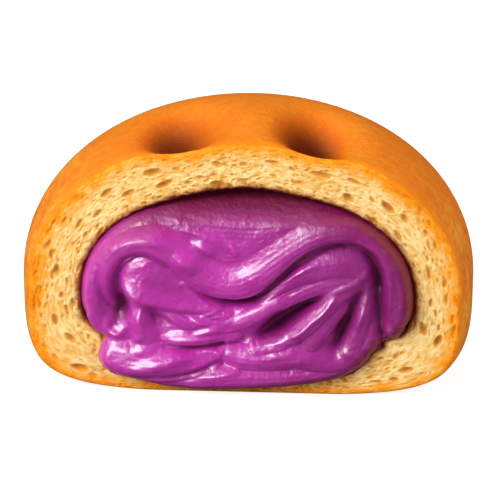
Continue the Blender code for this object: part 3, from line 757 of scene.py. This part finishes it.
def make_cream():
    """The filling: folds in front, and a skirt that goes back along the hollow."""
    turn = angles(CREAM_SEGMENTS)
    out = ring_ways(turn, math.pi / 2)
    notch = notch_depth(turn)
    mouth = outline_at(filling_level, -CUT_SETBACK, CREAM_SEGMENTS) - CUT_CENTRE
    spill = spill_reach(turn, np.hypot(mouth[:, 0], mouth[:, 2]) - notch)
    spill = np.maximum(spill, np.minimum(notch, SPILL_OVER_NOTCH))
    rim = rim_relief(turn, spill, CREAM_SEGMENTS)
    edge = outline_at(filling_level, -CUT_SETBACK - np.minimum(rim, 0.0), CREAM_SEGMENTS)
    edge[:, 1] = 0.0
    edge = edge + out * (spill - notch)[:, None]
    flat_centre = CUT_CENTRE * (1, 0, 1)

    shares = 1 - (1 - np.arange(1, CREAM_ROWS + 1) / CREAM_ROWS) ** CREAM_ROW_CROWDING
    front = flat_centre + (edge - flat_centre) * shares[:, None, None]
    x, z = front[:, :, 0], front[:, :, 2]
    relief, sunk = (values.reshape(x.shape) for values in fold_relief(x.ravel(), z.ravel()))
    relief = relief + lumps(x, z) - ROOF_RECESS * smooth_step((z - RECESS_FROM) / RECESS_RISE)
    from_edge = np.hypot(*(edge - flat_centre)[:, [0, 2]].T) * (1 - shares[:, None])
    rounding = np.sqrt(1 - np.clip(1 - from_edge / EDGE_ROUND, 0.0, 1.0) ** 2)
    front[:, :, 1] = -CUT_SETBACK - (rim + (relief - rim) * rounding)
    under_lip = outline_at(filling_level, np.maximum(-CUT_SETBACK - rim + GAP, -CUT_SETBACK), CREAM_SEGMENTS)
    under_lip[:, 1] = -CUT_SETBACK - np.minimum(rim - GAP, GAP)
    under_lip = under_lip - out * notch[:, None]
    skirt = outline_at(filling_level, -CUT_SETBACK + WALL_REACH, CREAM_SEGMENTS)

    relief, _ = fold_relief(flat_centre[:1], flat_centre[2:])
    centre = flat_centre - (0, CUT_SETBACK + relief[0], 0)
    cream = mesh_of_rings("cream", [*front, under_lip, skirt], pole=centre[None, :])
    face_outward(cream, FAR_BEHIND)
    upward = np.clip(np.sin(turn), 0, 1)
    under_roof = smooth_step(1 - from_edge / ROOF_SHADE_REACH) * upward**ROOF_SHADE_POWER
    rightward_rim = RIM_SHADE * smooth_step(1 - from_edge / RIM_SHADE_REACH) * np.clip(np.cos(turn), 0, 1)
    store(cream, "crease", np.clip((sunk * rounding).ravel() / FULL_CREASE, 0, MOST_CREASE))
    store(cream, "shade", np.maximum(under_roof, rightward_rim).ravel())
    return cream


# Shader groups, each with its own inputs and outputs


def new_group(name, inputs, outputs):
    """A shader group whose number inputs have these starting values."""
    group = bpy.data.node_groups.new(name, "ShaderNodeTree")
    for title, value in inputs.items():
        socket = group.interface.new_socket(title, in_out="INPUT", socket_type="NodeSocketFloat")
        socket.default_value = value
    for title in outputs:
        group.interface.new_socket(title, in_out="OUTPUT", socket_type="NodeSocketFloat")
    start = group.nodes.new("NodeGroupInput")
    end = group.nodes.new("NodeGroupOutput")
    return group, start, end


def link(tree, source, target):
    tree.links.new(source, target)


def math_node(tree, operation, first, second):
    node = tree.nodes.new("ShaderNodeMath")
    node.operation = operation
    for socket, value in zip(node.inputs, (first, second)):
        if isinstance(value, (int, float)):
            socket.default_value = value
        else:
            link(tree, value, socket)
    return node.outputs[0]


def noise_node(tree, place, scale, detail, roughness):
    node = tree.nodes.new("ShaderNodeTexNoise")
    node.inputs["Detail"].default_value = detail
    node.inputs["Roughness"].default_value = roughness
    if isinstance(scale, (int, float)):
        node.inputs["Scale"].default_value = scale
    else:
        link(tree, scale, node.inputs["Scale"])
    link(tree, place, node.inputs["Vector"])
    return node.outputs["Fac"]


def range_node(tree, value, from_low, from_high, to_low=0.0, to_high=1.0):
    node = tree.nodes.new("ShaderNodeMapRange")
    node.interpolation_type = "SMOOTHSTEP"
    node.inputs["From Min"].default_value = from_low
    node.inputs["From Max"].default_value = from_high
    node.inputs["To Min"].default_value = to_low
    node.inputs["To Max"].default_value = to_high
    link(tree, value, node.inputs["Value"])
    return node.outputs["Result"]


def object_place(tree, stretch=(1, 1, 1)):
    """Object coordinates in metres, stretched along each axis."""
    coordinates = tree.nodes.new("ShaderNodeTexCoord")
    if stretch == (1, 1, 1):
        return coordinates.outputs["Object"]
    mapping = tree.nodes.new("ShaderNodeMapping")
    mapping.inputs["Scale"].default_value = stretch
    link(tree, coordinates.outputs["Object"], mapping.inputs["Vector"])
    return mapping.outputs["Vector"]


def object_axes(tree):
    """The object's X, Y and Z coordinates, in metres."""
    split = tree.nodes.new("ShaderNodeSeparateXYZ")
    link(tree, object_place(tree), split.inputs["Vector"])
    return tuple(split.outputs)


# A mask's small blotches against its large ones, and a height's coarse grain against its fine one
SMALL_BLOTCH_SCALE = 4.3
LARGE_BLOTCH_SHARE = 0.65
SMALL_BLOTCH_SHARE = 0.35
BLOTCH_CONTRAST = 3.0
COARSE_GRAIN_SCALE = 0.28


def mottle_group():
    """Soft blotches of two sizes, as a mask from 0 to 1."""
    group, start, end = new_group("Mottle", {"Scale": 100.0, "Contrast": 1.0}, ["Mask"])
    place = object_place(group)
    large = noise_node(group, place, start.outputs["Scale"], detail=2.0, roughness=0.5)
    small_scale = math_node(group, "MULTIPLY", start.outputs["Scale"], SMALL_BLOTCH_SCALE)
    small = noise_node(group, place, small_scale, detail=4.0, roughness=0.6)
    large_part = math_node(group, "MULTIPLY", large, LARGE_BLOTCH_SHARE)
    small_part = math_node(group, "MULTIPLY", small, SMALL_BLOTCH_SHARE)
    centred = math_node(group, "SUBTRACT", math_node(group, "ADD", large_part, small_part), 0.5)
    contrast = math_node(group, "MULTIPLY", start.outputs["Contrast"], BLOTCH_CONTRAST)
    mask = math_node(group, "ADD", math_node(group, "MULTIPLY", centred, contrast), 0.5)
    clamp = group.nodes.new("ShaderNodeClamp")
    link(group, mask, clamp.inputs["Value"])
    link(group, clamp.outputs["Result"], end.inputs["Mask"])
    return group


def grain_group():
    """Fine surface grain, as a height."""
    group, start, end = new_group("Grain", {"Scale": 2000.0, "Coarse": 0.5}, ["Height"])
    place = object_place(group)
    fine = noise_node(group, place, start.outputs["Scale"], detail=3.0, roughness=0.6)
    coarse_scale = math_node(group, "MULTIPLY", start.outputs["Scale"], COARSE_GRAIN_SCALE)
    coarse = noise_node(group, place, coarse_scale, detail=2.0, roughness=0.5)
    height = math_node(group, "ADD", fine, math_node(group, "MULTIPLY", coarse, start.outputs["Coarse"]))
    link(group, height, end.inputs["Height"])
    return group


# Materials


def start_material(name):
    made = bpy.data.materials.new(name)
    made.use_nodes = True
    tree = made.node_tree
    return made, tree, tree.nodes["Principled BSDF"]


def place_group(tree, group, values):
    node = tree.nodes.new("ShaderNodeGroup")
    node.node_tree = group
    for title, value in values.items():
        node.inputs[title].default_value = value
    return node.outputs[0]


def attribute(tree, name):
    node = tree.nodes.new("ShaderNodeAttribute")
    node.attribute_name = name
    return node.outputs["Fac"]


def mix_node_sockets(node):
    """The colour sockets of a Mix node, which share their names with its number sockets."""
    return node.inputs[6], node.inputs[7], node.outputs[2]


def srgb(red, green, blue):
    """A display colour from 0 to 255 as the linear colour that shaders take."""
    return tuple(
        (share / 12.92 if share <= 0.04045 else ((share + 0.055) / 1.055) ** 2.4)
        for share in (red / 255, green / 255, blue / 255)
    )


def blend_colours(tree, factor, first, second):
    node = tree.nodes.new("ShaderNodeMix")
    node.data_type = "RGBA"
    colour_a, colour_b, result = mix_node_sockets(node)
    link(tree, factor, node.inputs[0])
    for socket, value in ((colour_a, first), (colour_b, second)):
        if isinstance(value, tuple):
            socket.default_value = (*value, 1.0)
        else:
            link(tree, value, socket)
    return result


def lay_colours(tree, colour, masks, layers):
    """Lays colours over one another, each by how far its mask is on the way between two values."""
    for mask, low, high, share_low, share_high, over in layers:
        share = range_node(tree, masks[mask], low, high, share_low, share_high)
        colour = blend_colours(tree, share, colour, over)
    return colour


def plus_part(tree, value, other, part):
    """A value plus a part of another."""
    return math_node(tree, "ADD", value, math_node(tree, "MULTIPLY", other, part))


def bump(tree, height, strength, distance, under=None):
    node = tree.nodes.new("ShaderNodeBump")
    node.inputs["Strength"].default_value = strength
    node.inputs["Distance"].default_value = distance
    link(tree, height, node.inputs["Height"])
    if under is not None:
        link(tree, under, node.inputs["Normal"])
    return node.outputs["Normal"]


CRUST_GOLD = srgb(252, 180, 56)
CRUST_BAKED = srgb(226, 120, 18)
# Amber: a random tone in the blotches, and painted shade towards the right and round the dents
CRUST_AMBER_AND_SHADE = srgb(222, 100, 4)
CRUST_BROWN = srgb(196, 88, 8)
CRUST_DENT_BROWN_AND_SHADE = srgb(76, 8, 0)
CRUST_CUT_EDGE = srgb(246, 142, 4)
CRUST_STREAK = srgb(248, 176, 72)
CRUST_UNDER = srgb(188, 98, 14)
CRUST_ROUGHNESS = (0.42, 0.56)
# Colours laid over one another on the crust: mask, from its value, to its value, share at each, colour
CRUST_LAYERS = (
    ("specks", 0.4, 0.9, 0.0, 0.5, CRUST_BROWN),
    ("specks", 0.05, 0.4, 0.5, 0.0, CRUST_STREAK),
    ("patches", 0.45, 1.0, 0.0, 0.5, CRUST_BROWN),
    ("patches", 0.0, 0.45, 0.3, 0.0, CRUST_STREAK),
    ("uneven height", 34 * MM, 64 * MM, 0.0, 0.85, CRUST_BAKED),
)
# Painted shade and browner bake in the dents, colour beside the cut, and the browner underside: mask, from
# its value, to its value, share at each, colour
CRUST_PLACE_LAYERS = (
    ("dent", 0.08, 0.5, 0.0, 0.7, CRUST_AMBER_AND_SHADE),
    ("dent", 0.2, 1.0, 0.0, 0.95, CRUST_DENT_BROWN_AND_SHADE),
    ("from cut", -0.6 * MM, 2.6 * MM, 0.5, 0.0, CRUST_CUT_EDGE),
    ("height", 0.2 * MM, 5 * MM, 0.8, 0.0, CRUST_UNDER),
)
# Painted shade: the crust is amber towards the right, from this X to this one
AMBER_REACH = (20 * MM, 46 * MM)
AMBER_SHARE = 0.35
# The pale streaks show where their noise is between these values, and strongest at the second
PALE_STREAKS = (0.48, 0.76)
# How far the noise of the pale streaks and the wrinkles is squeezed along each axis
STREAK_STRETCH = (50, 620, 50)
WRINKLE_STRETCH = (90, 900, 90)
# How far blotches shift the baked crown's edge, and specks the edge of the colour beside the cut
BAKED_UNEVEN = 14 * MM
CUT_UNEVEN = -2.0 * MM


def crust_material(mottle, grain):
    made, tree, shader = start_material("baked crust")
    blotches = place_group(tree, mottle, {"Scale": 70.0, "Contrast": 1.2})
    specks = place_group(tree, mottle, {"Scale": 700.0, "Contrast": 1.3})
    x, _, z = object_axes(tree)
    masks = {
        "specks": specks,
        "patches": place_group(tree, mottle, {"Scale": 230.0, "Contrast": 1.2}),
        "uneven height": plus_part(tree, z, blotches, BAKED_UNEVEN),
        "dent": attribute(tree, "dent"),
        "from cut": plus_part(tree, attribute(tree, "from_cut"), specks, CUT_UNEVEN),
        "height": z,
    }
    colour = blend_colours(tree, blotches, CRUST_GOLD, CRUST_AMBER_AND_SHADE)
    colour = lay_colours(tree, colour, masks, CRUST_LAYERS)
    rightward = range_node(tree, x, *AMBER_REACH, 0.0, AMBER_SHARE)
    colour = blend_colours(tree, rightward, colour, CRUST_AMBER_AND_SHADE)
    streaks = noise_node(tree, object_place(tree, STREAK_STRETCH), 1.0, detail=5.0, roughness=0.7)
    pale = math_node(tree, "MULTIPLY", range_node(tree, streaks, *PALE_STREAKS), rightward)
    colour = blend_colours(tree, pale, colour, CRUST_STREAK)
    colour = lay_colours(tree, colour, masks, CRUST_PLACE_LAYERS)
    link(tree, colour, shader.inputs["Base Color"])
    link(tree, range_node(tree, blotches, 0.0, 1.0, *CRUST_ROUGHNESS), shader.inputs["Roughness"])
    shader.inputs["Specular IOR Level"].default_value = 0.35
    wrinkles = noise_node(tree, object_place(tree, WRINKLE_STRETCH), 1.0, detail=3.0, roughness=0.6)
    wrinkled = bump(tree, wrinkles, strength=0.5, distance=0.35 * MM)
    grains = place_group(tree, grain, {"Scale": 1500.0, "Coarse": 1.0})
    link(tree, bump(tree, grains, strength=0.8, distance=0.3 * MM, under=wrinkled), shader.inputs["Normal"])
    return made


CRUMB_CREAM = srgb(255, 220, 150)
CRUMB_STRAW = srgb(240, 182, 86)
CRUMB_HOLE_TAN_AND_SHADE = srgb(224, 154, 58)
CRUMB_DEEP_HOLE_SHADE = srgb(164, 88, 14)
CRUMB_GOLD = srgb(252, 156, 4)
CRUMB_SKIN = srgb(228, 116, 4)
CRUMB_MOUTH = srgb(150, 60, 6)
CRUMB_DARK_TOP_EDGE = srgb(100, 36, 6)
CRUMB_ROUGHNESS = (0.7, 0.9)
# Colours laid over one another on the crumb: mask, from its value, to its value, share at each, colour
CRUMB_LAYERS = (
    ("straw", 0.0, 1.1, 0.0, 1.0, CRUMB_STRAW),
    # Painted shade in the air holes over their tan, darker the deeper a hole goes
    ("hole", 0.05, 0.34, 0.0, 0.85, CRUMB_HOLE_TAN_AND_SHADE),
    ("hole", 0.3, 0.8, 0.0, 0.6, CRUMB_DEEP_HOLE_SHADE),
    ("band", -0.1, 1.3, 0.75, 0.0, CRUMB_GOLD),
    ("band", -0.2, 0.6, 0.9, 0.0, CRUMB_GOLD),
    ("band", -0.35, 0.1, 0.7, 0.0, CRUMB_SKIN),
    ("from mouth", -0.5 * MM, 1.9 * MM, 1.0, 0.0, CRUMB_MOUTH),
)
# How far the streaks shift the straw colour, and blotches the edges of the band and of the mouth's colour
STRAND_SHARE = 0.55
BAND_UNEVEN = -0.6
MOUTH_UNEVEN = -0.9 * MM
# The mouth's edge is darker this far in, where the bun is higher than this
DARK_EDGE_REACH = (0.2 * MM, 1.0 * MM)
DARK_EDGE_SHARE = 0.95
DARK_EDGE_HEIGHT = (30 * MM, 44 * MM)


def crumb_material(mottle, grain):
    made, tree, shader = start_material("open crumb")
    blotches = place_group(tree, mottle, {"Scale": 160.0, "Contrast": 0.7})
    uneven = place_group(tree, mottle, {"Scale": 430.0, "Contrast": 1.3})
    from_mouth = attribute(tree, "from_mouth")
    masks = {
        "straw": plus_part(tree, blotches, attribute(tree, "strand"), STRAND_SHARE),
        "hole": attribute(tree, "hole"),
        "band": plus_part(tree, attribute(tree, "band"), uneven, BAND_UNEVEN),
        "from mouth": plus_part(tree, from_mouth, uneven, MOUTH_UNEVEN),
    }
    colour = lay_colours(tree, CRUMB_CREAM, masks, CRUMB_LAYERS)
    _, _, z = object_axes(tree)
    at_edge = range_node(tree, from_mouth, *DARK_EDGE_REACH, DARK_EDGE_SHARE, 0.0)
    darkened_top_edge = math_node(tree, "MULTIPLY", at_edge, range_node(tree, z, *DARK_EDGE_HEIGHT))
    colour = blend_colours(tree, darkened_top_edge, colour, CRUMB_DARK_TOP_EDGE)
    link(tree, colour, shader.inputs["Base Color"])
    link(tree, range_node(tree, uneven, 0.0, 1.0, *CRUMB_ROUGHNESS), shader.inputs["Roughness"])
    shader.inputs["Specular IOR Level"].default_value = 0.25
    shader.inputs["Subsurface Weight"].default_value = 0.15
    shader.inputs["Subsurface Radius"].default_value = (0.8, 0.5, 0.25)
    shader.inputs["Subsurface Scale"].default_value = 1.2 * MM
    grains = place_group(tree, grain, {"Scale": 3200.0, "Coarse": 1.0})
    link(tree, bump(tree, grains, strength=0.35, distance=0.2 * MM), shader.inputs["Normal"])
    return made


CREAM_PURPLE = srgb(180, 20, 150)
CREAM_LIGHT = srgb(200, 48, 176)
# Painted shade in the creases between the folds
CREAM_CREASE_SHADE = srgb(112, 0, 78)
CREAM_PAINTED_SHADE = srgb(120, 0, 84)
CREAM_SHADE = srgb(112, 0, 40)
CREAM_ROUGHNESS = (0.36, 0.5)
# Colours laid over one another on the cream, all painted shade, to the right, at the bottom and top, in
# creases and under the roof: mask, from its value, to its value, share at each, colour
CREAM_LAYERS = (
    ("rightward", -4 * MM, 32 * MM, 0.0, 0.6, CREAM_PAINTED_SHADE),
    ("height", 1 * MM, 9 * MM, 0.45, 0.0, CREAM_PAINTED_SHADE),
    ("height", 33 * MM, 46 * MM, 0.0, 0.5, CREAM_PAINTED_SHADE),
    ("crease", 0.1, 1.2, 0.0, 0.75, CREAM_CREASE_SHADE),
    ("shade", 0.0, 0.9, 0.0, 0.95, CREAM_SHADE),
)
# How much duller the cream is in the shade, and how its coat fades there
SHADE_DULLNESS = 0.03
COAT_UNTIL = 0.6
COAT_WEIGHT = 0.85


def cream_material(mottle, grain):
    made, tree, shader = start_material("sweet potato cream")
    blotches = place_group(tree, mottle, {"Scale": 160.0, "Contrast": 0.7})
    x, _, z = object_axes(tree)
    shade = attribute(tree, "shade")
    masks = {"rightward": x, "height": z, "crease": attribute(tree, "crease"), "shade": shade}
    colour = blend_colours(tree, blotches, CREAM_PURPLE, CREAM_LIGHT)
    colour = lay_colours(tree, colour, masks, CREAM_LAYERS)
    link(tree, colour, shader.inputs["Base Color"])
    roughness = range_node(tree, blotches, 0.0, 1.0, *CREAM_ROUGHNESS)
    link(tree, plus_part(tree, roughness, shade, SHADE_DULLNESS), shader.inputs["Roughness"])
    link(tree, range_node(tree, shade, 0.0, COAT_UNTIL, COAT_WEIGHT, 0.0), shader.inputs["Coat Weight"])
    shader.inputs["Specular IOR Level"].default_value = 1.0
    shader.inputs["IOR"].default_value = 1.55
    shader.inputs["Coat Roughness"].default_value = 0.21
    shader.inputs["Subsurface Weight"].default_value = 0.25
    shader.inputs["Subsurface Radius"].default_value = (1.0, 0.2, 0.7)
    shader.inputs["Subsurface Scale"].default_value = 1.5 * MM
    soft = noise_node(tree, object_place(tree), 800.0, detail=3.0, roughness=0.55)
    softened = bump(tree, soft, strength=0.35, distance=0.8 * MM)
    grains = place_group(tree, grain, {"Scale": 2600.0, "Coarse": 0.9})
    link(tree, bump(tree, grains, strength=0.45, distance=0.12 * MM, under=softened), shader.inputs["Normal"])
    return made


def floor_material():
    """Pale, and brighter to the camera than to the bun, so that the bun's underside keeps its shade."""
    made, tree, shader = start_material("pale floor")
    shader.inputs["Base Color"].default_value = (FLOOR_GREY, FLOOR_GREY, FLOOR_GREY, 1.0)
    shader.inputs["Roughness"].default_value = 0.8
    shader.inputs["Emission Color"].default_value = (1.0, 1.0, 1.0, 1.0)
    path = tree.nodes.new("ShaderNodeLightPath")
    glow = math_node(tree, "MULTIPLY", path.outputs["Is Camera Ray"], FLOOR_GLOW)
    link(tree, glow, shader.inputs["Emission Strength"])
    return made


# Studio


def make_floor():
    near, far = -FLOOR_HALF, FLOOR_HALF
    mesh = bpy.data.meshes.new("floor")
    mesh.from_pydata([(near, near, 0), (far, near, 0), (far, far, 0), (near, far, 0)], [], [(0, 1, 2, 3)])
    mesh.materials.append(floor_material())
    floor = bpy.data.objects.new("floor", mesh)
    floor.location.z = -FLOOR_DROP
    floor.visible_glossy = False
    bpy.context.scene.collection.objects.link(floor)


def add_light(name, place, size, power, reflected):
    lamp = bpy.data.lights.new(name, "AREA")
    lamp.shape = "DISK"
    lamp.size = size
    lamp.energy = power
    made = bpy.data.objects.new(name, lamp)
    made.location = place
    made.rotation_euler = (Vector(LIGHT_AIM) - Vector(place)).to_track_quat("-Z", "Y").to_euler()
    made.visible_glossy = reflected
    bpy.context.scene.collection.objects.link(made)


def make_world():
    """White to the camera, and dimmer to the bun, more so in reflections."""
    world = bpy.data.worlds.new("studio")
    world.use_nodes = True
    tree = world.node_tree
    background = tree.nodes["Background"]
    background.inputs["Color"].default_value = (1.0, 1.0, 1.0, 1.0)
    path = tree.nodes.new("ShaderNodeLightPath")
    mirrored = range_node(tree, path.outputs["Is Glossy Ray"], 0.0, 1.0, WORLD_LIGHT, WORLD_REFLECTION)
    to_camera = path.outputs["Is Camera Ray"]
    unseen = math_node(tree, "MULTIPLY", mirrored, math_node(tree, "SUBTRACT", 1.0, to_camera))
    link(tree, math_node(tree, "ADD", unseen, to_camera), background.inputs["Strength"])
    bpy.context.scene.world = world


def make_camera():
    lens = bpy.data.cameras.new("camera")
    lens.lens = CAMERA_LENS_MM
    lens.sensor_width = SENSOR_MM
    lens.clip_start = CLIP_NEAR
    lens.clip_end = CLIP_FAR
    camera = bpy.data.objects.new("camera", lens)
    back = Vector((
        math.sin(CAMERA_AZIMUTH) * math.cos(CAMERA_ELEVATION),
        -math.cos(CAMERA_AZIMUTH) * math.cos(CAMERA_ELEVATION),
        math.sin(CAMERA_ELEVATION),
    ))
    camera.location = CAMERA_TARGET + back * CAMERA_DISTANCE
    camera.rotation_euler = (-back).to_track_quat("-Z", "Y").to_euler()
    bpy.context.scene.collection.objects.link(camera)
    bpy.context.scene.camera = camera
    bpy.context.scene.view_settings.view_transform = "Standard"


def main():
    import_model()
    mottle = mottle_group()
    grain = grain_group()
    pieces = (
        (make_crust(), "bread", crust_material(mottle, grain)),
        (make_crumb(), "bread", crumb_material(mottle, grain)),
        (make_cream(), "filling", cream_material(mottle, grain)),
    )
    for piece, node, material in pieces:
        piece.data.materials.append(material)
        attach(piece, "root")
        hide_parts(node)
    make_floor()
    for light in LIGHTS:
        add_light(*light)
    make_world()
    make_camera()


main()
